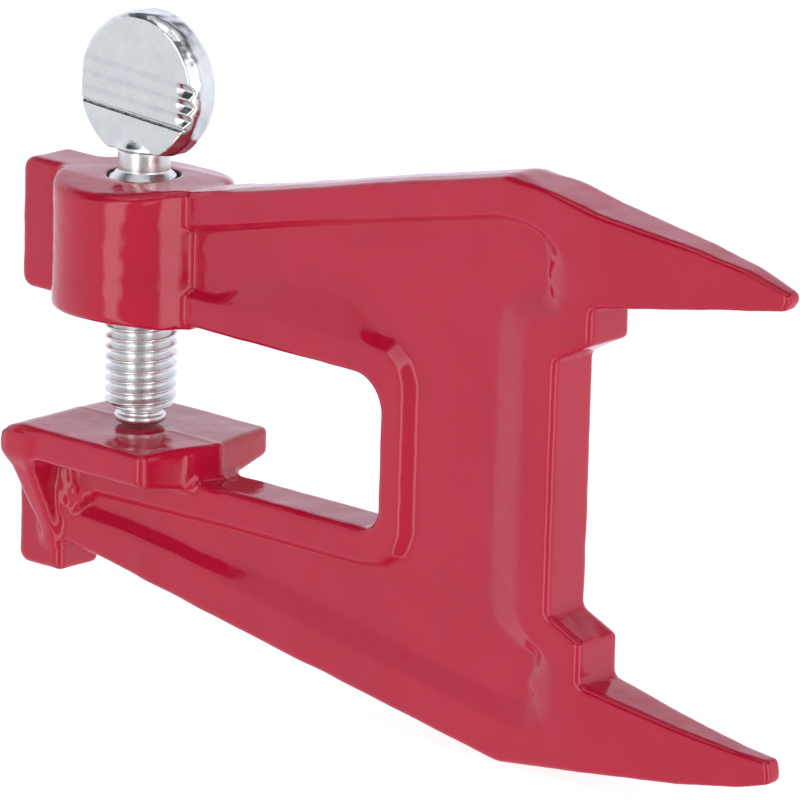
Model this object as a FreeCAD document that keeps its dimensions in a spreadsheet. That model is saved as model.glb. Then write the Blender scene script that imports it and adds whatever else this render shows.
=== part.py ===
import FreeCAD, Part
import math
import os
import Sketcher

V = FreeCAD.Vector
doc = FreeCAD.newDocument("stump_vise")

# ---------------------------------------------------------------------------
# Driving dimensions, millimetres and degrees.
# Row frame: +Z up along the clamp screw, +X from the screw towards the spikes,
# origin where the screw's axis crosses the level of the anvil plate's edges.
# ---------------------------------------------------------------------------
DIMS = [
    ("frame_thick", 8.22, "thickness of the flat C-frame"),
    ("pocket_depth", 1.4, "depth of the shallow pocket in each face of the frame"),
    ("pocket_draft", 2.1, "run of the pocket's sloping wall"),
    ("boss_rad", 12.5, "outer radius of the screw boss"),
    ("boss_low", 16.6, "underside of the screw boss"),
    ("boss_high", 35.7, "top of the screw boss"),
    ("bore_rad", 5.08, "radius of the screw's bore through the boss"),
    ("bore_flare", 0.15, "countersink at each end of the bore"),
    ("throat_end", 47.8, "right end of the open throat"),
    ("stop_face", 83.7, "the two shoulders that stop against the log"),
    ("spine_back", 78.0, "back of the spine between the shoulders"),
    ("stub_upper", -19.6, "upper striking face"),
    ("stub_lower", -19.7, "lower striking face"),
    ("spike_tip", 113.9, "points of the spikes"),
    ("spike_tip_half", 1.25, "half thickness of a spike at its point"),
    ("anvil_half", 12.45, "half width of the anvil plate"),
    ("anvil_thick", 4.2, "thickness of the anvil plate at its edges"),
    ("anvil_crown", 0.45, "rise of the anvil plate's ridge over its edges"),
    ("anvil_left", -14.7, "outer face of the anvil plate and its gusset"),
    ("anvil_nose", 15.6, "point of the anvil plate on the parting plane"),
    ("gusset_thick", 3.9, "thickness of the gusset under the anvil plate"),
    ("thread_rad", 5.0, "outer radius of the M10 thread"),
    ("thread_root", 4.12, "root radius of the M10 thread"),
    ("pitch", 1.5, "thread pitch"),
    ("thread_top", 34.9, "upper end of the thread"),
    ("thread_end", 3.9, "lower end of the thread"),
    ("neck_rad", 3.65, "neck between the thread and the thumb head"),
    ("neck_top", 39.45, "seam between the neck and the thumb head"),
    ("spigot_rad", 2.0, "spigot of the thumb head in the neck"),
    ("paddle_half_x", 10.3, "half width of the thumb paddle"),
    ("paddle_half_z", 10.4, "half height of the thumb paddle"),
    ("paddle_mid", 48.4, "height of the paddle's centre"),
    ("paddle_thick", 5.6, "thickness of the thumb paddle"),
    ("paddle_bevel", 1.2, "bevel round the paddle's faces"),
    ("paddle_turn", 5.3, "turn of the paddle about the screw at rest"),
    ("tip_rad", 3.6, "radius of the pressure tip"),
    ("tip_low", 0.9, "underside of the pressure tip at rest"),
    ("tip_top", 2.5, "shoulder of the pressure tip"),
]
sheet = doc.addObject("Spreadsheet::Sheet", "dims")
for row, (alias, value, words) in enumerate(DIMS, start=1):
    sheet.set("A%d" % row, words)
    sheet.set("B%d" % row, repr(value))
    sheet.setAlias("B%d" % row, alias)
doc.recompute()
D = {alias: value for alias, value, words in DIMS}


def plane(body, role):
    return [f for f in body.Origin.OriginFeatures if f.Role == role][0]


def new_body(name):
    body = doc.addObject("PartDesign::Body", name)
    body.Label = name
    return body


def new_sketch(body, name, role="XZ_Plane"):
    sk = body.newObject("Sketcher::SketchObject", name)
    sk.AttachmentSupport = [(plane(body, role), "")]
    sk.MapMode = "FlatFace"
    return sk


def rounded(points):
    """Lines and arcs of a closed outline: each point is (x, y) or (x, y, corner radius)."""
    n = len(points)
    pts = [V(p[0], p[1], 0) for p in points]
    rad = [p[2] if len(p) > 2 else 0.0 for p in points]
    ends = []
    for i in range(n):
        a, b, c = pts[i - 1], pts[i], pts[(i + 1) % n]
        if rad[i] <= 0:
            ends.append((b, b, None))
            continue
        u, w = (a - b).normalize(), (c - b).normalize()
        half = u.getAngle(w) / 2
        back = rad[i] / math.tan(half)
        mid = (u + w).normalize()
        centre = b + mid * (rad[i] / math.sin(half))
        ends.append((b + u * back, b + w * back, centre))
    geo = []
    for i in range(n):
        p, q, centre = ends[i]
        if centre is not None:
            a0 = math.atan2(p.y - centre.y, p.x - centre.x)
            a1 = math.atan2(q.y - centre.y, q.x - centre.x)
            turn = (a1 - a0 + math.pi) % (2 * math.pi) - math.pi
            if turn < 0:
                a0, a1 = a1, a0
            circle = Part.Circle(centre, V(0, 0, 1), rad[i])
            geo.append((Part.ArcOfCircle(circle, a0, a0 + abs(turn)), turn < 0))
        nxt = ends[(i + 1) % n][0]
        if (nxt - q).Length > 1e-6:
            geo.append((Part.LineSegment(q, nxt), False))
    return geo


def draw(sk, points):
    """Puts a closed outline in a sketch and joins its ends."""
    geo = rounded(points)
    ids = sk.addGeometry([g for g, flip in geo], False)
    first = ids[0]
    n = len(geo)
    cons = []
    for i in range(n):
        j = (i + 1) % n
        end = 1 if geo[i][1] else 2
        start = 2 if geo[j][1] else 1
        cons.append(Sketcher.Constraint("Coincident", first + i, end, first + j, start))
    sk.addConstraint(cons)
    return ids


def pin(sk, geo_id, end, kind, value, cell, sign=""):
    """Holds one end of a line to a cell's value, measured from the sketch's origin."""
    i = sk.addConstraint(Sketcher.Constraint(kind, -1, 1, geo_id, end, value))
    sk.setExpression("Constraints[%d]" % i, sign + "dims." + cell)


def both_sides(feature):
    feature.SideType = "Symmetric"


def smaller(body, before, what):
    after = body.Shape.Volume
    if not after < before - 1e-3:
        raise RuntimeError(what + " cut nothing")
    return after


# ---------------------------------------------------------------------------
# 1. vise_casting: one iron casting. C-frame, screw boss, anvil plate with its
#    gusset, two striking stubs and two spikes, cored for the clamp screw.
# ---------------------------------------------------------------------------
casting = new_body("vise_casting")

outline = [
    (-19.7, -22.85, 1.8), (-11.3, -22.85, 1), (-11.3, -18.29, 0.5), (-4.07, -19.09, 6), (9.9, -21.54),
    (29.91, -24.89), (49.93, -28.14), (62.96, -30.32, 8), (69.84, -31.47, 7), (80.02, -30.12, 10),
    (98.84, -27.85), (108.54, -26.28, 6), (113.66, -24.64, 1.1), (113.18, -21.71, 0.7), (108.11, -21.4),
    (98.82, -20.28), (83.7, -17.76, 1), (83.7, -12.15, 0.8), (78, -9.51, 1.2), (78, 25.02, 1.2),
    (83.7, 28.07, 0.8), (83.7, 32.91, 1.2), (112.61, 37.43, 0.7), (113.94, 39.5, 1), (106.69, 41.74),
    (98.85, 43.25), (83.0, 45.47), (76, 46.9), (68.7, 47.9, 6), (59.99, 46.02),
    (49.98, 44.07), (39.98, 41.8), (29.97, 39.52), (19.97, 37.45), (11.99, 35.9),
    (-19.6, 35.85, 1.8), (-19.6, 17.2, 1.8), (11, 17.18), (39.99, 16.73), (47.8, 16.61, 5),
    (47.8, -4.5, 3), (-19.7, -4.5, 1.5),
]
sk = new_sketch(casting, "frame_outline")
draw(sk, outline)
frame_pad = casting.newObject("PartDesign::Pad", "frame_plate")
frame_pad.Profile = sk
frame_pad.Length = D["frame_thick"]
frame_pad.setExpression("Length", "dims.frame_thick")
both_sides(frame_pad)
doc.recompute()

# screw boss, an upright cylinder
sk = new_sketch(casting, "boss_circle", "XY_Plane")
sk.AttachmentOffset = FreeCAD.Placement(V(0, 0, D["boss_low"]), FreeCAD.Rotation())
sk.setExpression("AttachmentOffset.Base.z", "dims.boss_low")
g = sk.addGeometry(Part.Circle(V(0, 0, 0), V(0, 0, 1), D["boss_rad"]), False)
sk.addConstraint(Sketcher.Constraint("Coincident", g, 3, -1, 1))
i = sk.addConstraint(Sketcher.Constraint("Radius", g, D["boss_rad"]))
sk.setExpression("Constraints[%d]" % i, "dims.boss_rad")
boss = casting.newObject("PartDesign::Pad", "boss")
boss.Profile = sk
boss.Length = D["boss_high"] - D["boss_low"]
boss.setExpression("Length", "dims.boss_high - dims.boss_low")
doc.recompute()

# anvil plate, drafted from a ridge on the parting plane
w, th, cr = D["anvil_half"], D["anvil_thick"], D["anvil_crown"]
sk = new_sketch(casting, "anvil_section", "YZ_Plane")
sk.AttachmentOffset = FreeCAD.Placement(V(0, 0, D["anvil_left"]), FreeCAD.Rotation())
sk.setExpression("AttachmentOffset.Base.z", "dims.anvil_left")
# its underside deepens towards the frame, more on the front half than on the back
hf = D["frame_thick"] / 2
draw(sk, [(-w, 0), (0, cr), (w, 0), (w, -th + 0.8), (hf, -th - 0.6), (-hf, -th - 1.3), (-w, -th)])
anvil = casting.newObject("PartDesign::Pad", "anvil_plate")
anvil.Profile = sk
anvil.Length = D["anvil_nose"] - D["anvil_left"]
anvil.setExpression("Length", "dims.anvil_nose - dims.anvil_left")
doc.recompute()

# gusset wall under the plate's outer end, tapering down to the frame's thickness
sk = new_sketch(casting, "gusset_section", "YZ_Plane")
sk.AttachmentOffset = FreeCAD.Placement(V(0, 0, D["anvil_left"]), FreeCAD.Rotation())
sk.setExpression("AttachmentOffset.Base.z", "dims.anvil_left")
draw(sk, [(-w, -1.0), (w, -1.0), (w, -4.0), (hf, -18.2), (-hf, -18.2), (-w, -4.0)])
gusset = casting.newObject("PartDesign::Pad", "gusset")
gusset.Profile = sk
gusset.Length = D["gusset_thick"]
gusset.setExpression("Length", "dims.gusset_thick")
doc.recompute()

# the plate's free end comes to a blunt point on the parting plane
vol = casting.Shape.Volume
sk = new_sketch(casting, "nose_cuts", "XY_Plane")
sk.AttachmentOffset = FreeCAD.Placement(V(0, 0, 2.0), FreeCAD.Rotation())
nose = D["anvil_nose"]
front_end = [(12.2, -14.0), (12.2, -w), (13.3, -hf)]
back_end = [(13.0, w), (13.0, 14.0)]
draw(sk, [(nose + 0.02, -0.4), (nose + 0.02, -14.0)] + front_end)
draw(sk, [(nose + 0.02, 0.3)] + back_end + [(nose + 0.02, 14.0)])
cut = casting.newObject("PartDesign::Pocket", "nose_taper")
cut.Profile = sk
cut.Length = 6.4
doc.recompute()
vol = smaller(casting, vol, "nose taper")
sk = new_sketch(casting, "wing_cuts", "XY_Plane")
sk.AttachmentOffset = FreeCAD.Placement(V(0, 0, -4.0), FreeCAD.Rotation())
draw(sk, [(nose + 0.3, -hf), (nose + 0.3, -14.0)] + front_end)
draw(sk, [(14.78, hf)] + back_end + [(nose + 0.3, 14.0), (nose + 0.3, hf)])
cut = casting.newObject("PartDesign::Pocket", "wing_taper")
cut.Profile = sk
cut.Length = 2.6
doc.recompute()
vol = smaller(casting, vol, "wing taper")

# both spikes thin down towards their points
sk = new_sketch(casting, "spike_cuts", "XY_Plane")
tip, ht = D["spike_tip"] + 0.6, D["spike_tip_half"]
sf = D["stop_face"]
draw(sk, [(sf, -hf), (tip, -ht), (tip, -6.0), (sf, -6.0)])
draw(sk, [(sf, hf), (sf, 6.0), (tip, 6.0), (tip, ht)])
cut = casting.newObject("PartDesign::Pocket", "spike_taper")
cut.Profile = sk
cut.Type = "ThroughAll"
both_sides(cut)
doc.recompute()
vol = smaller(casting, vol, "spike taper")

# shallow pocket in each face: wide at the surface, narrower at its floor
pocket = [
    (13.6, 30.9), (20.0, 32.3), (30.0, 34.6), (40.0, 36.8), (50.0, 38.9), (60.0, 41.0),
    (67.0, 42.5), (71.0, 42.6), (75.5, 41.6), (78.6, 39.2), (79.5, 36.5), (79.5, 33.5),
    (78.0, 31.3), (75.0, 30.1), (73.3, 28.8), (72.8, 26.8), (72.8, -9.0), (73.4, -11.2),
    (75.2, -13.2), (77.8, -14.6), (79.0, -16.4), (79.0, -22.6), (77.8, -24.6), (74.5, -25.7),
    (70.0, -25.6), (62.0, -24.3), (52.0, -22.7), (40.0, -20.7), (30.0, -18.9), (20.0, -17.1),
    (10.0, -15.4), (0.0, -13.7), (-6.6, -12.6), (-8.2, -11.6), (-7.6, -9.6), (-5.0, -9.1),
    (20.0, -9.1), (45.0, -9.1), (48.4, -8.6), (50.8, -6.8), (51.7, -4.0), (51.7, 16.6),
    (50.9, 19.6), (48.6, 21.8), (45.6, 22.6), (30.0, 22.4), (14.6, 22.3), (13.4, 23.4),
]


def inset(points, run):
    """The same outline moved inwards by run, vertex by vertex."""
    area = sum(points[i - 1][0] * points[i][1] - points[i][0] * points[i - 1][1] for i in range(len(points)))
    side = 1.0 if area > 0 else -1.0
    out = []
    for i in range(len(points)):
        a, b, c = points[i - 1], points[i], points[(i + 1) % len(points)]
        d0 = (b[0] - a[0], b[1] - a[1])
        d1 = (c[0] - b[0], c[1] - b[1])
        l0, l1 = math.hypot(*d0), math.hypot(*d1)
        n0 = (-d0[1] / l0 * side, d0[0] / l0 * side)
        n1 = (-d1[1] / l1 * side, d1[0] / l1 * side)
        m = (n0[0] + n1[0], n0[1] + n1[1])
        k = 2 * run / (m[0] ** 2 + m[1] ** 2)
        out.append((b[0] + m[0] * k, b[1] + m[1] * k))
    return out


depth, run = D["pocket_depth"], D["pocket_draft"]
over = 0.2
wide = inset(pocket, -run * over / depth)
floor = inset(pocket, run)
for face, sign in (("front", -1.0), ("back", 1.0)):
    top = new_sketch(casting, "pocket_mouth_" + face)
    # the outline's own plane faces -Y, so a positive offset lies on the front
    top.AttachmentOffset = FreeCAD.Placement(V(0, 0, -sign * (hf + over)), FreeCAD.Rotation())
    draw(top, wide)
    low = new_sketch(casting, "pocket_floor_" + face)
    low.AttachmentOffset = FreeCAD.Placement(V(0, 0, -sign * (hf - depth)), FreeCAD.Rotation())
    low.setExpression("AttachmentOffset.Base.z", "%s(dims.frame_thick / 2 - dims.pocket_depth)" % ("-" if sign > 0 else ""))
    draw(low, floor)
    loft = casting.newObject("PartDesign::SubtractiveLoft", "face_pocket_" + face)
    loft.Profile = top
    loft.Sections = [low]
    loft.Ruled = True
    doc.recompute()
    vol = smaller(casting, vol, "face pocket " + face)

# the screw's bore through the boss, with a small countersink at each end
sk = new_sketch(casting, "bore_section")
br, bf, lo, hi = D["bore_rad"], D["bore_flare"], D["boss_low"], D["boss_high"]
ids = draw(sk, [
    (0, lo - 0.5), (br + bf + 0.5, lo - 0.5), (br, lo + bf), (br, hi - bf), (br + bf + 0.5, hi + 0.5), (0, hi + 0.5),
])
bore = casting.newObject("PartDesign::Groove", "screw_bore")
bore.Profile = sk
bore.ReferenceAxis = (sk, ["V_Axis"])
bore.Angle = 360.0
doc.recompute()
vol = smaller(casting, vol, "screw bore")


def edges_where(shape, test):
    return ["Edge%d" % (i + 1) for i, e in enumerate(shape.Edges) if test(e)]


def flat_at(e, axis, value, tol=0.02):
    b = e.BoundBox
    lo_, hi_ = {"x": (b.XMin, b.XMax), "y": (b.YMin, b.YMax), "z": (b.ZMin, b.ZMax)}[axis]
    return abs(lo_ - value) < tol and abs(hi_ - value) < tol


def try_round(name, test, radius):
    """Rounds a group of edges if the kernel can, and says so if it can't."""
    names = edges_where(casting.Shape, test)
    if not names:
        print("no edges for", name)
        return
    prev = casting.Tip
    f = casting.newObject("PartDesign::Fillet", name)
    f.Base = (prev, names)
    f.Radius = radius
    doc.recompute()
    if "Invalid" in f.State or "Error" in f.State or f.Shape.isNull() or not f.Shape.isValid():
        casting.removeObject(f)
        doc.removeObject(f.Name)
        casting.Tip = prev
        doc.recompute()
        print("round left out:", name, len(names))
    else:
        print("rounded:", name, len(names))


# softened edges: boss rims and the anvil plate's corners
try_round("boss_rim_low", lambda e: flat_at(e, "z", lo) and e.BoundBox.XMin < -12.4 and e.Length > 5, 1.0)
try_round("anvil_corners", lambda e: 12.1 < e.BoundBox.XMin and e.BoundBox.XMax < 13.1
          and abs(abs(e.BoundBox.YMin) - w) < 0.05 and abs(abs(e.BoundBox.YMax) - w) < 0.05 and e.BoundBox.ZMax - e.BoundBox.ZMin > 2, 1.2)
try_round("anvil_outer_edge", lambda e: abs(e.BoundBox.XMin + 14.7) < 0.02 and abs(e.BoundBox.XMax + 14.7) < 0.02
          and e.BoundBox.ZMin > -0.1 and e.BoundBox.YLength > 5, 2.2)

# ---------------------------------------------------------------------------
# 2. clamp_screw: turned M10 screw, with a neck above the thread, a socket for
#    the thumb head's spigot and a socket that keeps the pressure tip captive.
#    The thread is drawn as rings at the thread's pitch.
# ---------------------------------------------------------------------------
screw = new_body("clamp_screw")
sk = new_sketch(screw, "screw_section")
r1, r0, p = D["thread_rad"], D["thread_root"], D["pitch"]
nt, nr = D["neck_top"], D["neck_rad"]
prof = [(0, nt - 5.2), (D["spigot_rad"], nt - 5.2), (D["spigot_rad"], nt), (nr, nt), (nr, D["thread_top"] + 1.65), (r1 - 0.35, D["thread_top"] + 0.8), (r1 - 0.35, D["thread_top"])]
z = D["thread_top"]
rings = int((D["thread_top"] - D["thread_end"]) / p)
for k in range(rings):
    prof += [(r0, z - 0.52), (r0, z - 0.70), (r1, z - 1.16), (r1, z - 1.36)]
    z -= p
prof += [(r0, z - 0.45), (r0, z - 0.6), (3.72, 2.62), (1.6, 2.62), (1.6, 4.3), (2.3, 4.3), (2.3, 6.4), (0, 7.6)]
draw(sk, prof)
rev = screw.newObject("PartDesign::Revolution", "turned_screw")
rev.Profile = sk
rev.ReferenceAxis = (sk, ["V_Axis"])
rev.Angle = 360.0
doc.recompute()

# ---------------------------------------------------------------------------
# 3. thumb_head: oval paddle with bevelled faces and a saw-toothed grip band,
#    on a round stem whose spigot is fixed in the screw's neck.
# ---------------------------------------------------------------------------
head = new_body("thumb_head")
hx, hz, zm, pt, pb = D["paddle_half_x"], D["paddle_half_z"], D["paddle_mid"], D["paddle_thick"], D["paddle_bevel"]
cx = 0.7


def oval(shrink, count=48):
    out = []
    for k in range(count):
        a = 2 * math.pi * k / count
        x = cx + (hx - shrink) * math.cos(a)
        zz = zm + (hz - shrink) * math.sin(a)
        out.append((max(x, -9.3 + shrink), zz))
    return out


rim = new_sketch(head, "paddle_rim")
draw(rim, oval(0.0))
slab = head.newObject("PartDesign::Pad", "paddle")
slab.Profile = rim
slab.Length = pt - 2 * pb
slab.setExpression("Length", "dims.paddle_thick - 2 * dims.paddle_bevel")
both_sides(slab)
doc.recompute()
for face, sign in (("front", -1.0), ("back", 1.0)):
    a = new_sketch(head, "bevel_rim_" + face)
    a.AttachmentOffset = FreeCAD.Placement(V(0, 0, -sign * (pt / 2 - pb)), FreeCAD.Rotation())
    draw(a, oval(0.0))
    b = new_sketch(head, "bevel_face_" + face)
    b.AttachmentOffset = FreeCAD.Placement(V(0, 0, -sign * pt / 2), FreeCAD.Rotation())
    draw(b, oval(pb))
    loft = head.newObject("PartDesign::AdditiveLoft", "paddle_bevel_" + face)
    loft.Profile = a
    loft.Sections = [b]
    loft.Ruled = True
    doc.recompute()

# the paddle ends level with the neck's top, and the spigot clears its socket
sk = new_sketch(head, "neck_clearance_section")
draw(sk, [(0, nt - 6.0), (hx + 4.0, nt - 6.0), (hx + 4.0, nt), (0, nt)])
cut = head.newObject("PartDesign::Groove", "neck_clearance")
vol = head.Shape.Volume
cut.Profile = sk
cut.ReferenceAxis = (sk, ["V_Axis"])
cut.Angle = 360.0
doc.recompute()
vol = smaller(head, vol, "neck clearance")

stem = new_sketch(head, "stem_section")
draw(stem, [(0, nt - 5.0), (D["spigot_rad"] - 0.05, nt - 5.0), (D["spigot_rad"] - 0.05, nt), (nr, nt), (nr, nt + 1.0), (2.15, nt + 3.3), (0, nt + 3.3)])
rev = head.newObject("PartDesign::Revolution", "stem")
rev.Profile = stem
rev.ReferenceAxis = (stem, ["V_Axis"])
rev.Angle = 360.0
doc.recompute()

# saw-toothed grip band across both faces, tilted a little out of level
vol = head.Shape.Volume
for face, sign in (("front", -1.0), ("back", 1.0)):
    sk = new_sketch(head, "grip_teeth_" + face, "YZ_Plane")
    sk.AttachmentOffset = FreeCAD.Placement(V(0, 0, 0), FreeCAD.Rotation(V(1, 0, 0), 6.4))
    y0, y1 = sign * (pt / 2 + 0.4), sign * (pt / 2)
    for z_top in (51.16, 49.05, 46.94):
        c6 = math.cos(math.radians(6.4))
        zt, zb = z_top * c6, (z_top - 2.02) * c6
        draw(sk, [(y0, zt + 0.02), (y1, zt), (sign * (pt / 2 - 0.55), zt - 0.28), (y1, zb), (y0, zb)])
    zt = 44.60 * math.cos(math.radians(6.4))
    draw(sk, [(y0, zt + 0.22), (y1, zt + 0.22), (sign * (pt / 2 - 0.4), zt), (y1, zt - 0.22), (y0, zt - 0.22)])
    teeth = head.newObject("PartDesign::Pocket", "grip_band_" + face)
    teeth.Profile = sk
    teeth.Type = "ThroughAll"
    both_sides(teeth)
    doc.recompute()
    vol = smaller(head, vol, "grip band " + face)
head.Placement = FreeCAD.Placement(V(0, 0, 0), FreeCAD.Rotation(V(0, 0, 1), D["paddle_turn"]))
head.setExpression("Placement.Rotation.Angle", "dims.paddle_turn")

# ---------------------------------------------------------------------------
# 4. pressure_tip: plain round point that bears on the work and stays still
#    while the screw turns; its headed stem is captive in the screw's end.
# ---------------------------------------------------------------------------
tip_body = new_body("pressure_tip")
sk = new_sketch(tip_body, "tip_section")
tr, tl, tt = D["tip_rad"], D["tip_low"], D["tip_top"]
draw(sk, [(0, tl), (tr - 0.5, tl), (tr, tl + 0.4), (tr, tt), (1.53, tt), (1.53, 4.4), (2.22, 4.4), (2.22, 6.1), (1.6, 6.6), (0, 6.6)])
rev = tip_body.newObject("PartDesign::Revolution", "turned_tip")
rev.Profile = sk
rev.ReferenceAxis = (sk, ["V_Axis"])
rev.Angle = 360.0
doc.recompute()

# ---------------------------------------------------------------------------
bad = [o.Label for o in doc.Objects if "Invalid" in o.State or "Error" in o.State]
if bad:
    raise RuntimeError("failed objects: " + ", ".join(bad))
os.makedirs("parts", exist_ok=True)
for body in (casting, screw, head, tip_body):
    s = body.Shape
    if s.isNull() or not s.isValid() or len(s.Solids) != 1:
        raise RuntimeError("bad shape: %s null=%s valid=%s solids=%d" % (body.Label, s.isNull(), s.isValid(), len(s.Solids)))
    b = s.BoundBox
    print("%-14s volume %9.1f mm3  X %.2f..%.2f  Y %.2f..%.2f  Z %.2f..%.2f" % (
        body.Label, s.Volume, b.XMin, b.XMax, b.YMin, b.YMax, b.ZMin, b.ZMax))
    s.exportStep("parts/%s.step" % body.Label)
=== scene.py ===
import math

import bpy
import numpy as np
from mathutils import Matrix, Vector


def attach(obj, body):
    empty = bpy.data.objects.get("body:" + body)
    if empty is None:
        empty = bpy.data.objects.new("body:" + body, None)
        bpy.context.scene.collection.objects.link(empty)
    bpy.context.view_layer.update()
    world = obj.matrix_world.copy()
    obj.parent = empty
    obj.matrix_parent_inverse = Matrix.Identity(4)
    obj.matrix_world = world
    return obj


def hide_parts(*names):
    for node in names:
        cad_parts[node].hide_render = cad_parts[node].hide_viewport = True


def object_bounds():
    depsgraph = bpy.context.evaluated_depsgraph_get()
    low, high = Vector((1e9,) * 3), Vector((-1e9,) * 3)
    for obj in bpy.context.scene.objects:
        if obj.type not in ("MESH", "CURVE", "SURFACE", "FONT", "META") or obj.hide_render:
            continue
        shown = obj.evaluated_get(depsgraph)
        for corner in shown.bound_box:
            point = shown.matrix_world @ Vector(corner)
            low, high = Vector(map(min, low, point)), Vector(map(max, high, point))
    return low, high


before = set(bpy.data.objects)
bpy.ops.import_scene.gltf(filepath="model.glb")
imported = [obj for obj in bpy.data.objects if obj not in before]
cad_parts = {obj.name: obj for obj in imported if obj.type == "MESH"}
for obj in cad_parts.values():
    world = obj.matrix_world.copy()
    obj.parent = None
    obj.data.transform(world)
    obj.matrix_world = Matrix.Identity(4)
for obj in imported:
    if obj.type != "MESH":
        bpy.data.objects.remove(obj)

import openvdb as vdb
from mathutils import Matrix, Vector

cad_lo, cad_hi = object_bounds()
F = np.float32
MM = 0.001

# ---------------------------------------------------------------------------
# Signed-distance modelling, in millimetres of the row frame
# ---------------------------------------------------------------------------


def arc_outline(points, step=0.35):
    """A closed outline of (x, z[, radius]) as a dense polygon with round corners."""
    n = len(points)
    P = [np.array(p[:2], float) for p in points]
    R = [p[2] if len(p) > 2 else 0.0 for p in points]
    out = []
    for i in range(n):
        a, b, c = P[i - 1], P[i], P[(i + 1) % n]
        if R[i] <= 0:
            out.append(b)
            continue
        u, w = a - b, c - b
        u, w = u / np.hypot(*u), w / np.hypot(*w)
        half = math.acos(max(-1, min(1, float(u @ w)))) / 2
        back = R[i] / math.tan(half)
        m = (u + w) / np.hypot(*(u + w))
        o = b + m * (R[i] / math.sin(half))
        p, q = b + u * back, b + w * back
        a0 = math.atan2(*(p - o)[::-1])
        a1 = math.atan2(*(q - o)[::-1])
        t = (a1 - a0 + math.pi) % (2 * math.pi) - math.pi
        k = max(3, int(abs(t) * R[i] / step) + 1)
        for j in range(k + 1):
            an = a0 + t * j / k
            out.append(o + R[i] * np.array([math.cos(an), math.sin(an)]))
    return np.array(out)


def poly_sd(X, Z, poly):
    """Exact signed distance to a closed polygon, negative inside."""
    d = np.full(X.shape, 1e9, F)
    inside = np.zeros(X.shape, bool)
    for i in range(len(poly)):
        ax, az = poly[i - 1]
        bx, bz = poly[i]
        ex, ez = bx - ax, bz - az
        ll = ex * ex + ez * ez
        if ll < 1e-12:
            continue
        wx, wz = X - F(ax), Z - F(az)
        t = np.clip((wx * F(ex) + wz * F(ez)) / F(ll), 0, 1)
        dx, dz = wx - t * F(ex), wz - t * F(ez)
        np.minimum(d, dx * dx + dz * dz, out=d)
        if az != bz:
            crosses = (Z >= min(az, bz)) & (Z < max(az, bz))
            xc = F(ax) + (Z - F(az)) * F(ex / ez)
            inside ^= crosses & (X < xc)
    d = np.sqrt(d)
    return np.where(inside, -d, d)


def cut_round(a, b, r):
    """Intersection of two shapes with their shared edge rounded by r."""
    return np.minimum(-r, np.maximum(a, b)) + np.sqrt(np.maximum(a + r, 0) ** 2 + np.maximum(b + r, 0) ** 2)


def join_round(a, b, r):
    """Union of two shapes with a fillet of radius r between them."""
    return np.maximum(r, np.minimum(a, b)) - np.sqrt(np.maximum(r - a, 0) ** 2 + np.maximum(r - b, 0) ** 2)


def waves(X, Y, Z, seed, size, count=14):
    """Smooth unevenness of about unit height: a sum of plane waves of about that length."""
    rng = np.random.default_rng(seed)
    out = np.zeros(np.broadcast(X, Y, Z).shape, F)
    for i in range(count):
        v = rng.normal(size=3)
        v /= np.linalg.norm(v)
        k = 2 * math.pi / (size * rng.uniform(0.7, 1.5))
        out += np.sin(F(v[0] * k) * X + F(v[1] * k) * Y + F(v[2] * k) * Z + F(rng.uniform(0, 6.28)))
    return out * F(math.sqrt(2.0 / count))


def surface(name, sdf, lo, hi, step):
    """Meshes the zero surface of sdf over a box, then moves each point onto the surface and takes its normal from the field."""
    n = [int(math.ceil((hi[i] - lo[i]) / step)) + 1 for i in range(3)]
    ax = [(lo[i] + step * np.arange(n[i])).astype(F) for i in range(3)]
    G = sdf(ax[0][:, None, None], ax[1][None, :, None], ax[2][None, None, :])
    G = np.ascontiguousarray(np.broadcast_to(G, n), F)
    grid = vdb.FloatGrid(4.0 * step)
    band = np.clip(G, -4 * step, 4 * step)
    grid.copyFromArray(band, ijk=(0, 0, 0), tolerance=0.0)
    pts, tris, quads = grid.convertToPolygons(isovalue=0.0, adaptivity=0.0)
    pts = np.array(pts, float)
    quads = np.array(quads, np.int64).reshape(-1, 4)
    tris = np.array(tris, np.int64).reshape(-1, 3)

    def sample(A, p):
        q = np.clip(p, 0, np.array(n) - 1.001)
        i = q.astype(int)
        f = q - i
        out = 0
        for dx in (0, 1):
            for dy in (0, 1):
                for dz in (0, 1):
                    wgt = (f[:, 0] if dx else 1 - f[:, 0]) * (f[:, 1] if dy else 1 - f[:, 1]) * (f[:, 2] if dz else 1 - f[:, 2])
                    out = out + wgt * A[i[:, 0] + dx, i[:, 1] + dy, i[:, 2] + dz]
        return out

    gx, gy, gz = np.gradient(G)
    for _ in range(3):
        v = sample(G, pts)
        g = np.stack([sample(gx, pts), sample(gy, pts), sample(gz, pts)], 1)
        gg = np.maximum((g ** 2).sum(1), 1e-9)
        pts = pts - np.clip(v / gg, -0.5, 0.5)[:, None] * g
    g = np.stack([sample(gx, pts), sample(gy, pts), sample(gz, pts)], 1)
    g /= np.maximum(np.linalg.norm(g, axis=1), 1e-9)[:, None]
    co = (pts * step + np.array(lo)) * MM
    co = np.clip(co, np.array(cad_lo), np.array(cad_hi))
    return make_mesh(name, co, [quads, tris], g)


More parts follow.
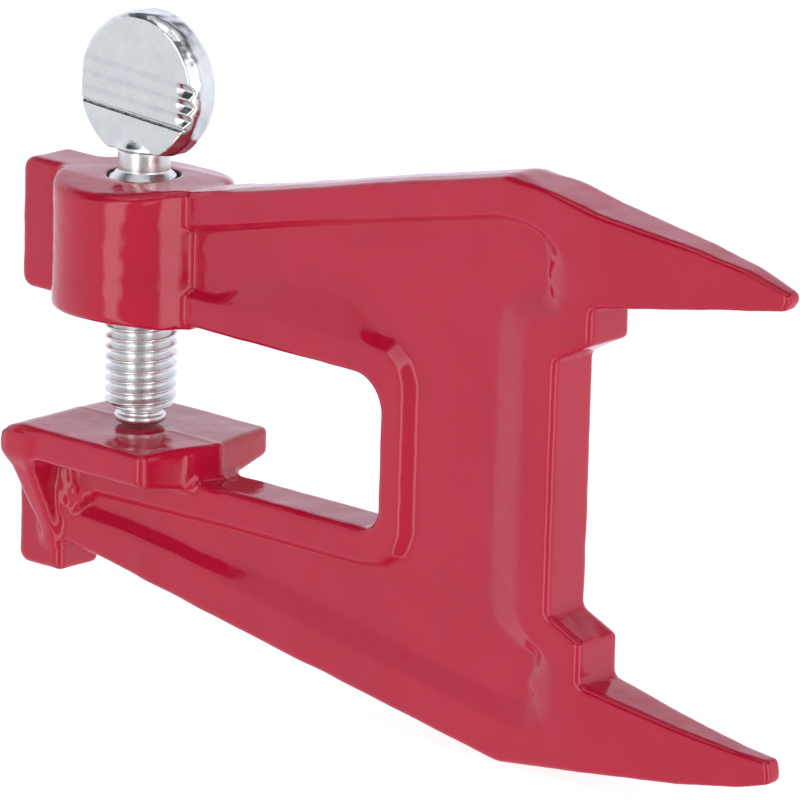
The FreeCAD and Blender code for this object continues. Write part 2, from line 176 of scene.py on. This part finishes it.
def make_mesh(name, co, face_sets, normals=None):
    me = bpy.data.meshes.new(name)
    loops = np.concatenate([f.ravel() for f in face_sets if len(f)])
    sizes = np.concatenate([np.full(len(f), f.shape[1]) for f in face_sets if len(f)])
    starts = np.concatenate([[0], np.cumsum(sizes)[:-1]])
    me.vertices.add(len(co))
    me.vertices.foreach_set("co", co.astype(F).ravel())
    me.loops.add(len(loops))
    me.loops.foreach_set("vertex_index", loops.astype(np.int32))
    me.polygons.add(len(sizes))
    me.polygons.foreach_set("loop_start", starts.astype(np.int32))
    me.update(calc_edges=True)
    me.validate()
    if normals is not None:
        # outward faces: compare one face's normal with the field's
        me.calc_loop_triangles()
        fn = np.zeros(len(me.polygons) * 3, F)
        me.polygons.foreach_get("normal", fn)
        fn = fn.reshape(-1, 3)
        first = np.zeros(len(me.polygons), np.int32)
        me.polygons.foreach_get("loop_start", first)
        vi = np.zeros(len(me.loops), np.int32)
        me.loops.foreach_get("vertex_index", vi)
        if (fn * normals[vi[first]]).sum() < 0:
            me.flip_normals()
    me.polygons.foreach_set("use_smooth", np.ones(len(me.polygons), bool))
    ob = bpy.data.objects.new(name, me)
    bpy.context.scene.collection.objects.link(ob)
    if normals is not None:
        me.normals_split_custom_set_from_vertices([tuple(v) for v in normals.tolist()])
    return ob


# ---------------------------------------------------------------------------
# The casting
# ---------------------------------------------------------------------------
HALF = 4.11
OUTLINE = [
    (-19.7, -22.85, 1.8), (-11.3, -22.85, 1), (-11.3, -18.29, 0.5), (-4.07, -19.09, 6), (9.9, -21.54),
    (29.91, -24.89), (49.93, -28.14), (62.96, -30.32, 8), (69.84, -31.47, 7), (80.02, -30.12, 10),
    (98.84, -27.85), (108.54, -26.28, 6), (113.66, -24.64, 1.1), (113.18, -21.71, 0.7), (108.11, -21.4),
    (98.82, -20.28), (83.7, -17.76, 1), (83.7, -12.15, 0.8), (78, -9.51, 1.2), (78, 25.02, 1.2),
    (83.7, 28.07, 0.8), (83.7, 32.91, 1.2), (112.61, 37.43, 0.7), (113.94, 39.5, 1), (106.69, 41.74),
    (98.85, 43.25), (83.0, 45.47), (76, 46.9), (68.7, 47.9, 6), (59.99, 46.02),
    (49.98, 44.07), (39.98, 41.8), (29.97, 39.52), (19.97, 37.45), (11.99, 35.9),
    (-19.6, 35.85, 1.8), (-19.6, 17.2, 1.8), (11, 17.18), (39.99, 16.73), (47.8, 16.61, 5),
    (47.8, -4.5, 3), (-19.7, -4.5, 1.5),
]
POCKET = [
    (9.0, 30.4, 0.8), (13.6, 31.4), (20.0, 32.8), (30.0, 35.0), (40.0, 37.1), (50.0, 39.1), (60.0, 41.1),
    (67.0, 42.5, 4.0), (71.0, 42.6, 4.0), (75.5, 41.6, 3.0), (78.6, 39.2, 2.5), (79.5, 36.5, 2.0), (79.5, 33.5, 1.5),
    (78.0, 31.3, 1.5), (75.0, 30.1, 2.0), (73.3, 28.8, 1.0), (72.8, 26.8, 1.5), (72.8, -9.0, 2.0), (73.4, -11.2, 2.0),
    (75.2, -13.2, 1.5), (77.8, -14.6, 1.5), (79.0, -16.4, 1.5), (79.0, -22.6, 2.0), (77.8, -24.6, 1.5), (74.5, -25.7, 2.0),
    (70.0, -25.6, 3.0), (62.0, -24.3), (52.0, -22.7), (40.0, -20.7), (30.0, -18.9), (20.0, -17.1),
    (10.0, -15.4), (0.0, -14.3), (-8.4, -13.9, 0.8), (-9.6, -12.9, 0.6), (-8.6, -11.4, 0.6), (-5.0, -9.6),
    (20.0, -9.1), (45.0, -9.1, 3.0), (48.4, -8.6, 2.0), (50.8, -6.8, 1.5), (51.7, -4.0, 1.5), (51.7, 16.6, 1.5),
    (50.9, 18.7, 1.5), (48.6, 20.6, 1.5), (45.6, 20.9, 1.5), (30.0, 21.3), (14.6, 21.4), (9.0, 21.6, 0.8),
]
step = 0.35
outline_poly = arc_outline(OUTLINE)
pocket_poly = arc_outline(POCKET)


def soft_ramp(v, lo, hi, e=0.07):
    """A straight ramp from 0 to 1 with small round ends."""
    t = (v - lo) / (hi - lo)
    t = 0.5 * (t + np.sqrt(t * t + e * e))
    return 1 - 0.5 * ((1 - t) + np.sqrt((1 - t) ** 2 + e * e))


def capsule(X, Y, Z, a, b, r):
    """Distance to a round-ended rod from a to b."""
    v = [b[i] - a[i] for i in range(3)]
    t = ((X - a[0]) * v[0] + (Y - a[1]) * v[1] + (Z - a[2]) * v[2]) / sum(w * w for w in v)
    t = np.clip(t, 0, 1)
    return np.sqrt((X - a[0] - v[0] * t) ** 2 + (Y - a[1] - v[1] * t) ** 2 + (Z - a[2] - v[2] * t) ** 2) - r


def casting_sdf(X, Y, Z):
    X2 = np.broadcast_to(X[:, 0, :], (X.shape[0], Z.shape[2]))
    Z2 = np.broadcast_to(Z[:, 0, :], (X.shape[0], Z.shape[2]))
    # the boss and its striking block share one flat top with the arm
    boss_side = np.maximum(np.abs(X2) - 12.5, np.abs(Z2 - 26.225) - 9.625)
    side = np.minimum(poly_sd(X2, Z2, outline_poly), boss_side)[:, None, :]
    dp = poly_sd(X2, Z2, pocket_poly)[:, None, :]
    aY = np.abs(Y)
    rho = np.sqrt(X * X + Y * Y)
    # the arm's thickness, thinned by the pockets and towards the spike points
    half = HALF - (HALF - 1.25) * np.clip((X - 83.7) / 30.6, 0, 1) + 0.0 * Z
    gx, gz = np.gradient(dp[:, 0, :], step)
    run = 1.9 - 1.05 * np.clip(gz * 1.6 - 0.3, 0, 1) + 3.6 * np.clip(gx * 1.6 - 0.5, 0, 1)
    run = run + 1.2 * np.clip((X2 - 14) / 12, 0, 1) * np.clip((-10 - Z2) / 2, 0, 1) * (gz < -0.5)
    over = 0.9 + 4.3 * np.clip((X2 - 17) / 10, 0, 1) * np.clip((47 - X2) / 6, 0, 1)
    run = np.where((gz < -0.5) & (Z2 > 17) & (X2 < 47), over, run)
    for _ in range(int(round(3.0 / step ** 2))):
        run[1:-1, 1:-1] = (run[1:-1, 1:-1] + run[2:, 1:-1] + run[:-2, 1:-1] + run[1:-1, 2:] + run[1:-1, :-2]) / 5
    run = run[:, None, :]
    sink = 1.4 * soft_ramp(-dp / run, 0.0, 1.0)
    wall = aY - (half - sink)
    # the boss swells out of it
    round_boss = rho - 12.5 + 40.0 * np.clip((14.5 - Z) / 3.0, 0, 1)
    wall = join_round(wall, round_boss, 0.8)
    # the long upper edges of the arm fall away to both sides
    up = np.gradient(side[:, 0, :], step, axis=1)[:, None, :]
    upper = np.clip((up - 0.8) / 0.15, 0, 1) * np.clip((X - 12) / 8, 0, 1) * np.clip((82 - X) / 12, 0, 1) * (Z > 20)
    soft = side * 0.989 - 0.10 + 0.146 * (aY - (half - 2.4)) - 0.6 * (1 - upper)
    side = side - 0.10 * upper
    side = np.maximum(side, soft)
    edge = 1.0 - 0.35 * np.clip((X - 90) / 24, 0, 1) + 0.45 * np.clip((13.5 - rho) / 2, 0, 1) * (Z > 25) + 0.25 * np.clip((X + 6) / -6, 0, 1) * (Z < 0)
    edge = edge - 0.4 * np.clip((X - 14) / 3, 0, 1) * np.clip((83 - X) / 8, 0, 1) * (Z > 32)
    d = cut_round(side, wall, edge)
    # anvil plate: crowned top, underside deepening towards the arm
    top = Z - 0.45 + 0.25 * aY / 12.45
    front = np.clip((-Y + 0.6) / 1.2, 0, 1)
    low = -4.3 - (12.45 - aY) * (0.15 * front + 0.16 * (1 - front)) + 0.75 * (1 - front)
    under = (low - Z) * 0.985
    # its free end: a blunt point on the parting plane, straighter at the back
    nose_back = (X - 15.6 + 0.208 * Y) * 0.979
    nose_front = join_round((X - 15.6 - 0.56 * Y) * 0.872, (X - 13.3 - 0.132 * (Y + 4.11)) * 0.991, 2.6)
    nose = np.maximum(X - 15.6, np.where(Y > 0, nose_back, nose_front))
    ends = cut_round(aY - 12.45, nose, 1.2)
    plate = cut_round(top, ends, 0.75)
    plate = cut_round(plate, under, 0.8)
    plate = cut_round(plate, -14.7 - X, 1.0)
    # the outer end's upper edge is well rounded
    plate = cut_round(plate, (-14.7 - X) * 0.72 + (Z + 1.15) * 0.69 , 1.6)
    # gusset under its outer end
    slope = 0.870 * (aY - 12.45) - 0.4927 * (Z + 4.0)
    inner = X - (-9.9 + (Z + 4.2) * 0.125)
    gus = cut_round(slope, aY - 12.45, 1.0)
    gus = cut_round(gus, -14.7 - X, 1.3)
    gus = cut_round(gus, inner, 0.9)
    gus = np.maximum(gus, Z + 1.8)
    gus = np.maximum(gus, -18.8 - Z)
    plate = join_round(plate, gus, 2.2)
    d = join_round(d, plate, 1.5)
    # thick folds of paint in the corner behind the gusset
    fold = np.minimum(capsule(X, aY, Z, (-9.7, 3.9, -5.6), (-10.1, 4.1, -12.4), 0.85),
                      capsule(X, aY, Z, (-6.9, 3.6, -10.4), (-9.6, 3.9, -13.2), 0.7))
    fold = np.minimum(fold, capsule(X, aY, Z, (-8.4, 3.7, -7.4), (-8.9, 3.8, -11.0), 0.6))
    near = np.exp(-((X + 8.8) ** 2 + (aY - 4.2) ** 2 + (Z + 9.8) ** 2) / 9.0)
    d = join_round(d, fold, 1.3) + 0.16 * near * waves(X, aY, Z, 31, 2.2, 8)
    # a run of paint down the nose's front and a small drip under it
    drip = np.minimum(capsule(X, aY, Z, (13.35, 4.6, -0.9), (13.2, 5.0, -4.3), 0.55),
                      capsule(X, aY, Z, (13.2, 3.9, -4.6), (14.2, 3.6, -5.6), 0.5))
    d = join_round(d, drip, 0.5)
    # the screw's bore
    bore = np.maximum(rho - 5.08, 14.0 - Z)
    d = cut_round(d, -bore, 0.12)
    # the parting line left along the plate's ridge and nose, and on the arm's edges
    seam = 0.09 * np.exp(-(Y / 0.36) ** 2) * (X < 17.5) * (Z < 4) * (Z > -4.6)
    worn = np.clip((6.0 - rho) / 1.6, 0, 1) * (Z < 4)
    d = d - seam * (1 - worn)
    # the thick paint's soft unevenness
    d = d + (F(0.026) * waves(X, Y, Z, 5, 9.0) + F(0.010) * waves(X, Y, Z, 8, 3.2) - F(0.03)) * (1 - worn) + 0.03 * worn
    return d.astype(F)


casting = surface("casting_paint", casting_sdf, (-20.7, -13.7, -32.7), (114.8, 13.7, 49.2), step)
print("casting faces", len(casting.data.polygons))

# ---------------------------------------------------------------------------
# The clamp screw: a true right-hand helix, the neck, and the end
# ---------------------------------------------------------------------------


def lathe(name, rows, sides, radius):
    """A closed round piece: rows of heights and a radius for each height and angle."""
    th = np.arange(sides) * 2 * math.pi / sides
    H, T = np.meshgrid(rows, th, indexing="ij")
    R, H = radius(H, T)
    co = np.stack([R * np.cos(T), R * np.sin(T), H], -1).reshape(-1, 3)
    nr = len(rows)
    i = np.arange(nr - 1)[:, None] * sides
    j = np.arange(sides)[None, :]
    k = (j + 1) % sides
    quads = np.stack([i + j, i + k, i + sides + k, i + sides + j], -1).reshape(-1, 4)
    bottom = np.array([[0, 0, H[0, 0]]])
    topp = np.array([[0, 0, H[-1, 0]]])
    nb = len(co)
    co = np.concatenate([co, bottom, topp])
    jj = np.arange(sides)
    kk = (jj + 1) % sides
    t1 = np.stack([np.full(sides, nb), kk, jj], -1)
    off = (nr - 1) * sides
    t2 = np.stack([np.full(sides, nb + 1), off + jj, off + kk], -1)
    ob = make_mesh(name, co * MM, [quads, np.concatenate([t1, t2])])
    return ob


PITCH = 1.5


def thread_radius(H, T):
    ph = ((H - PITCH * T / (2 * math.pi)) / PITCH) % 1.0
    tri = np.abs(ph - 0.5) * 2          # 1 at the crest, 0 at the root
    prof = np.clip((tri - 0.14) / 0.72, 0, 1)
    r = 4.10 + 0.88 * prof
    # soft crest and root
    r = r + 0.02 * np.cos(2 * math.pi * ph)
    low = 3.25 + (H - 2.62) * 1.55       # chamfer at the end
    high = 3.65 + (36.55 - H) * 1.176     # cone into the neck
    r = np.minimum(r, np.minimum(low, high))
    r = np.where(H > 36.55, 3.65, r)
    return r, H


rows = np.concatenate([
    np.arange(2.62, 36.56, 0.075), [36.6, 36.8, 37.0, 37.4, 38.0, 38.6, 39.1, 39.32, 39.4, 39.45],
])


def screw_radius(H, T):
    r, H = thread_radius(H, T)
    r = np.where(H > 39.35, r - (H - 39.35) * 1.6, r)
    # faint turning marks on the neck
    r = r + np.where((H > 36.6) & (H < 39.3), 0.015 * np.sin(H * 14.0), 0)
    return r, H


screw = lathe("screw_threaded", rows, 96, screw_radius)

tip_rows = np.array([0.9, 0.905, 0.98, 1.1, 1.3, 1.5, 1.8, 1.9, 1.98, 2.04, 2.10, 2.3, 2.5])
tip_r = np.array([2.6, 3.0, 3.3, 3.48, 3.58, 3.6, 3.6, 3.57, 3.48, 3.3, 3.1, 3.02, 3.0])


def tip_radius(H, T):
    return np.interp(H, tip_rows, tip_r), H


tip = lathe("screw_point", tip_rows, 96, tip_radius)

# ---------------------------------------------------------------------------
# The thumb paddle
# ---------------------------------------------------------------------------
TURN = math.radians(5.3)
TILT = math.radians(6.4)


def paddle_sdf(X, Y, Z):
    c, s = math.cos(TURN), math.sin(TURN)
    x = c * X + s * Y
    y = -s * X + c * Y
    ay = np.abs(y)
    # oval rim with a flattened left side
    ex, ez = (x - 0.7) / 10.3, (Z - 48.4) / 10.4
    rr = np.sqrt(ex * ex + ez * ez)
    gr = np.sqrt((ex / 10.3) ** 2 + (ez / 10.4) ** 2) / np.maximum(rr, 1e-3)
    d = (rr - 1) / np.maximum(gr, 1e-3)
    d = cut_round(d, -9.3 - x, 0.6)
    # bevelled steeply on the right, softly on the left and over the top
    soft = np.clip(0.5 - ex * 0.9 + ez * 0.35, 0, 1)
    low = np.clip(-ez * 1.3 - ex * 0.9 - 0.2, 0, 1)
    run = (1.05 * (1 - soft) + 0.6 * soft) * (1 - 0.75 * low)
    fall = (1.35 * (1 - soft) + 0.5 * soft) * (1 - 0.75 * low)
    bevel = ((d + run) * fall + (ay - 2.8) * run) / np.sqrt(run * run + fall * fall)
    # teeth: a short step in, then a long slope back out to the face
    zc = Z * math.cos(TILT) + (x - 0.0) * math.sin(TILT)
    depth = 0.0
    notch = 0.23 + 0.40 * np.clip((x - 7.4) / 1.2, 0, 1)
    for z_top in (51.16, 49.05, 46.94):
        zt = z_top * math.cos(TILT)
        u = zt - zc
        depth = depth + np.where((u > 0) & (u < 2.02), np.minimum(u / 1.0, (2.02 - u) / 1.02) * notch, 0)
    zt = 44.60 * math.cos(TILT)
    depth = depth + np.clip(1 - np.abs(zc - zt) / 0.34, 0, 1) * 0.42
    face = (ay - 2.8 + depth) * 0.93
    p = cut_round(cut_round(d, bevel, 0.35), face, 0.14)
    # stem
    rho = np.sqrt(X * X + Y * Y)
    taper = (rho - np.interp(Z, [39.0, 39.9, 40.9, 41.6], [3.65, 3.60, 2.70, 1.9]).astype(F)) * 0.88
    stem = cut_round(taper, np.maximum(39.47 - Z, Z - 44.0), 0.12)
    p = join_round(p, stem, 0.8)
    p = np.maximum(p, 39.47 - Z)
    # the rim is left rougher than the faces
    rough_rim = np.clip((2.2 - ay) / 0.6, 0, 1) * np.clip((Z - 41.0) / 1.5, 0, 1)
    p = p + F(0.014) * waves(X, Y, Z, 21, 2.6) + F(0.006) * waves(X, Y, Z, 22, 1.1) + 0.045 * rough_rim * waves(X, Y, Z, 23, 2.4)
    return p.astype(F)


paddle = surface("thumb_paddle", paddle_sdf, (-10.9, -4.4, 38.9), (12.0, 4.4, 59.3), 0.14)
print("paddle faces", len(paddle.data.polygons))

# ---------------------------------------------------------------------------
# Materials
# ---------------------------------------------------------------------------


def material(name):
    m = bpy.data.materials.new(name)
    m.use_nodes = True
    nt = m.node_tree
    for n in list(nt.nodes):
        nt.nodes.remove(n)
    out = nt.nodes.new("ShaderNodeOutputMaterial")
    bs = nt.nodes.new("ShaderNodeBsdfPrincipled")
    nt.links.new(bs.outputs[0], out.inputs[0])
    return m, nt, bs


def noise(nt, scale, detail=2.0, rough=0.5):
    tc = nt.nodes.new("ShaderNodeTexCoord")
    n = nt.nodes.new("ShaderNodeTexNoise")
    n.inputs["Scale"].default_value = scale
    n.inputs["Detail"].default_value = detail
    n.inputs["Roughness"].default_value = rough
    nt.links.new(tc.outputs["Object"], n.inputs["Vector"])
    return n


def mapped(nt, src, lo, hi, a, b):
    r = nt.nodes.new("ShaderNodeMapRange")
    r.inputs["From Min"].default_value = lo
    r.inputs["From Max"].default_value = hi
    r.inputs["To Min"].default_value = a
    r.inputs["To Max"].default_value = b
    nt.links.new(src, r.inputs["Value"])
    return r.outputs["Result"]


def red_paint():
    m, nt, bs = material("crimson_enamel")
    big = noise(nt, 60, 3)
    ramp_ = nt.nodes.new("ShaderNodeMix")
    ramp_.data_type = "RGBA"
    ramp_.inputs["A"].default_value = (0.437, 0.0056, 0.032, 1)
    ramp_.inputs["B"].default_value = (0.472, 0.0070, 0.037, 1)
    nt.links.new(mapped(nt, big.outputs["Fac"], 0.35, 0.65, 0, 1), ramp_.inputs["Factor"])
    # the bore is unpainted iron; its near-black colour is painted shade for the dark gap round the screw
    tc = nt.nodes.new("ShaderNodeTexCoord")
    xyz = nt.nodes.new("ShaderNodeSeparateXYZ")
    nt.links.new(tc.outputs["Object"], xyz.inputs[0])

    def calc(op, a, b):
        n = nt.nodes.new("ShaderNodeMath")
        n.operation = op
        for i, v in enumerate((a, b)):
            if isinstance(v, float):
                n.inputs[i].default_value = v
            else:
                nt.links.new(v, n.inputs[i])
        return n.outputs[0]

    rho2 = calc("ADD", calc("MULTIPLY", xyz.outputs["X"], xyz.outputs["X"]), calc("MULTIPLY", xyz.outputs["Y"], xyz.outputs["Y"]))
    bare_bore_painted_shade = calc("MULTIPLY", calc("LESS_THAN", rho2, 0.00518 ** 2), calc("GREATER_THAN", xyz.outputs["Z"], 0.015))
    # near-black colour in the bore: painted shade; the added roughness is the bare metal
    tint = nt.nodes.new("ShaderNodeMix")
    tint.data_type = "RGBA"
    tint.inputs["B"].default_value = (0.018, 0.016, 0.016, 1)
    nt.links.new(bare_bore_painted_shade, tint.inputs["Factor"])
    nt.links.new(ramp_.outputs["Result"], tint.inputs["A"])
    nt.links.new(tint.outputs["Result"], bs.inputs["Base Color"])
    fine = noise(nt, 420, 2)
    gloss = mapped(nt, fine.outputs["Fac"], 0.3, 0.7, 0.07, 0.13)
    nt.links.new(calc("ADD", gloss, calc("MULTIPLY", bare_bore_painted_shade, 0.55)), bs.inputs["Roughness"])
    bs.inputs["IOR"].default_value = 1.5
    b1 = nt.nodes.new("ShaderNodeBump")
    b1.inputs["Strength"].default_value = 0.25
    b1.inputs["Distance"].default_value = 0.0001
    peel = noise(nt, 700, 1)
    nt.links.new(peel.outputs["Fac"], b1.inputs["Height"])
    nt.links.new(b1.outputs["Normal"], bs.inputs["Normal"])
    return m


def zinc(name, tint, rough_lo, rough_hi, bump, scale):
    m, nt, bs = material(name)
    big = noise(nt, 300, 3)
    mx = nt.nodes.new("ShaderNodeMix")
    mx.data_type = "RGBA"
    mx.inputs["A"].default_value = (tint[0] * 0.93, tint[1] * 0.94, tint[2] * 0.95, 1)
    mx.inputs["B"].default_value = (tint[0], tint[1], tint[2], 1)
    nt.links.new(mapped(nt, big.outputs["Fac"], 0.35, 0.65, 0, 1), mx.inputs["Factor"])
    nt.links.new(mx.outputs["Result"], bs.inputs["Base Color"])
    bs.inputs["Metallic"].default_value = 1.0
    fine = noise(nt, 900, 3)
    nt.links.new(mapped(nt, fine.outputs["Fac"], 0.3, 0.7, rough_lo, rough_hi), bs.inputs["Roughness"])
    b1 = nt.nodes.new("ShaderNodeBump")
    b1.inputs["Strength"].default_value = bump
    b1.inputs["Distance"].default_value = 0.0001
    pit = noise(nt, scale, 3)
    nt.links.new(pit.outputs["Fac"], b1.inputs["Height"])
    nt.links.new(b1.outputs["Normal"], bs.inputs["Normal"])
    return m


paint = red_paint()
zinc_turned = zinc("zinc_turned", (0.80, 0.81, 0.82), 0.26, 0.36, 0.15, 1600)
zinc_forged = zinc("zinc_forged", (0.77, 0.80, 0.81), 0.16, 0.28, 0.22, 1100)
for ob, mat in ((casting, paint), (screw, zinc_turned), (tip, zinc_turned), (paddle, zinc_forged)):
    ob.data.materials.clear()
    ob.data.materials.append(mat)

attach(casting, "casting"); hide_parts("vise_casting")
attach(screw, "screw"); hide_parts("clamp_screw")
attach(paddle, "screw"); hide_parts("thumb_head")
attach(tip, "screw_point"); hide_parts("pressure_tip")

# ---------------------------------------------------------------------------
# Camera, at the fitted viewpoint
# ---------------------------------------------------------------------------
AZ, EL, ROLL = math.radians(41.378), math.radians(14.835), math.radians(1.583)
TX, TY, DIST = -36.115, -3.582, 833.345
right = np.array([math.cos(AZ), math.sin(AZ), 0])
ahead = np.array([-math.sin(AZ) * math.cos(EL), math.cos(AZ) * math.cos(EL), -math.sin(EL)])
up = np.cross(right, ahead)
r2 = right * math.cos(ROLL) + up * math.sin(ROLL)
u2 = -right * math.sin(ROLL) + up * math.cos(ROLL)
eye = -(TX * r2 + TY * u2 + DIST * ahead) * MM
cam_data = bpy.data.cameras.new("camera")
cam_data.lens = 270.0
cam_data.sensor_width = 36.0
cam_data.clip_start = 0.01
cam_data.clip_end = 50.0
cam = bpy.data.objects.new("camera", cam_data)
bpy.context.scene.collection.objects.link(cam)
cam.matrix_world = Matrix((
    (r2[0], u2[0], -ahead[0], eye[0]),
    (r2[1], u2[1], -ahead[1], eye[1]),
    (r2[2], u2[2], -ahead[2], eye[2]),
    (0, 0, 0, 1),
))
bpy.context.scene.camera = cam

# ---------------------------------------------------------------------------
# Floor and soft studio light
# ---------------------------------------------------------------------------
me = bpy.data.meshes.new("studio_floor")
s = 6.0
zf = cad_lo[2] - 0.0002
me.from_pydata([(-s, -s, zf), (s, -s, zf), (s, s, zf), (-s, s, zf)], [], [(0, 1, 2, 3)])
floor = bpy.data.objects.new("studio_floor", me)
bpy.context.scene.collection.objects.link(floor)
m, nt, bs = material("pale_floor")
bs.inputs["Base Color"].default_value = (0.40, 0.40, 0.40, 1)
bs.inputs["Roughness"].default_value = 0.9
bs.inputs["Specular IOR Level"].default_value = 0.0
bs.inputs["Emission Color"].default_value = (1, 1, 1, 1)
bs.inputs["Emission Strength"].default_value = 0.86
me.materials.append(m)

# The room: a white sweep behind, two tall soft boxes either side of the
# camera with its darker gap between them, and a dim ceiling.
world = bpy.data.worlds.new("studio")
bpy.context.scene.world = world
world.use_nodes = True
wn = world.node_tree
for n in list(wn.nodes):
    wn.nodes.remove(n)
wo = wn.nodes.new("ShaderNodeOutputWorld")
tc = wn.nodes.new("ShaderNodeTexCoord")
sep = wn.nodes.new("ShaderNodeSeparateXYZ")
wn.links.new(tc.outputs["Generated"], sep.inputs[0])


def wmath(op, a, b=None, c=None):
    n = wn.nodes.new("ShaderNodeMath")
    n.operation = op
    for i, v in enumerate((a, b, c)):
        if v is None:
            continue
        if isinstance(v, (int, float)):
            n.inputs[i].default_value = v
        else:
            wn.links.new(v, n.inputs[i])
    return n.outputs[0]


def wramp(fac, stops):
    n = wn.nodes.new("ShaderNodeValToRGB")
    n.color_ramp.interpolation = "EASE"
    el = n.color_ramp.elements
    while len(el) < len(stops):
        el.new(0.5)
    for e, (pos, col) in zip(el, stops):
        e.position = pos
        e.color = (*col, 1)
    wn.links.new(fac, n.inputs[0])
    return n.outputs["Color"]


# bearing from the camera's side of the object, -180 to 180 degrees as 0 to 1
side = math.radians(-48.62)
cx, sx = math.cos(side), math.sin(side)
along = wmath("ADD", wmath("MULTIPLY", sep.outputs["X"], cx), wmath("MULTIPLY", sep.outputs["Y"], sx))
across = wmath("SUBTRACT", wmath("MULTIPLY", sep.outputs["Y"], cx), wmath("MULTIPLY", sep.outputs["X"], sx))
bearing = wmath("MULTIPLY_ADD", wmath("ARCTAN2", across, along), 1 / (2 * math.pi), 0.5)
K = 3.0


def tone(deg, v, warm=0.0):
    return ((deg + 180) / 360, (v / K, v / K, v * (1 + warm) / K))


walls = wramp(bearing, [
    tone(-180, 1.02, 0.14), tone(-120, 1.02, 0.08), tone(-62, 0.85, 0.03), tone(-50, 0.75), tone(-43, 2.65), tone(-28, 2.65), tone(-20, 0.45),
    tone(20, 0.40), tone(28, 2.4), tone(48, 2.4), tone(58, 0.9), tone(92, 1.12, 0.06), tone(116, 1.0, 0.05), tone(140, 1.08, 0.10), tone(180, 1.02, 0.14),
])
height = wmath("MULTIPLY_ADD", sep.outputs["Z"], 0.5, 0.5)
rise = wramp(height, [
    (0.0, (0.50,) * 3), (0.12, (0.75,) * 3), (0.27, (0.90,) * 3), (0.38, (1.0,) * 3), (0.74, (1.0,) * 3), (0.80, (0.70,) * 3), (0.872, (0.07,) * 3),
    (0.935, (0.07,) * 3), (0.948, (0.80,) * 3), (0.962, (0.80,) * 3), (0.978, (0.07,) * 3), (1.0, (0.07,) * 3),
])
mixed = wn.nodes.new("ShaderNodeMix")
mixed.data_type = "RGBA"
mixed.blend_type = "MULTIPLY"
mixed.inputs["Factor"].default_value = 1.0
wn.links.new(walls, mixed.inputs["A"])
wn.links.new(rise, mixed.inputs["B"])
# a dark card high on the left
card = wmath("MULTIPLY",
             wramp(bearing, [(0.205, (0,) * 3), (0.240, (1,) * 3), (0.318, (1,) * 3), (0.345, (0,) * 3)]),
             wramp(height, [(0.700, (0,) * 3), (0.745, (1,) * 3), (0.900, (1,) * 3), (0.930, (0,) * 3)]))
keep = wmath("MULTIPLY_ADD", card, -0.96, 1.0)
shaded = wn.nodes.new("ShaderNodeMix")
shaded.data_type = "RGBA"
shaded.blend_type = "MULTIPLY"
shaded.inputs["Factor"].default_value = 1.0
wn.links.new(mixed.outputs["Result"], shaded.inputs["A"])
wn.links.new(keep, shaded.inputs["B"])
room = wn.nodes.new("ShaderNodeBackground")
room.inputs["Strength"].default_value = K
wn.links.new(shaded.outputs["Result"], room.inputs["Color"])
plain = wn.nodes.new("ShaderNodeBackground")
plain.inputs["Color"].default_value = (1, 1, 1, 1)
plain.inputs["Strength"].default_value = 1.0
lp = wn.nodes.new("ShaderNodeLightPath")
pick = wn.nodes.new("ShaderNodeMixShader")
wn.links.new(lp.outputs["Is Camera Ray"], pick.inputs[0])
wn.links.new(room.outputs[0], pick.inputs[1])
wn.links.new(plain.outputs[0], pick.inputs[2])
wn.links.new(pick.outputs[0], wo.inputs[0])
floor.visible_glossy = False


def softbox(name, at, look, size, power):
    ld = bpy.data.lights.new(name, "AREA")
    ld.shape = "RECTANGLE"
    ld.size, ld.size_y = size
    ld.energy = power
    lo = bpy.data.objects.new(name, ld)
    bpy.context.scene.collection.objects.link(lo)
    lo.location = at
    lo.rotation_euler = (Vector(look) - Vector(at)).to_track_quat("-Z", "Y").to_euler()
    return lo


softbox("top_fill", (0.1, -0.2, 1.1), (0.03, 0, 0.0), (0.8, 0.8), 1.35)
softbox("right_fill", (0.42, -0.34, 0.16), (0.09, 0, 0.0), (0.16, 0.30), 0.16)

bpy.context.scene.view_settings.view_transform = "Standard"
bpy.context.scene.view_settings.look = "None"
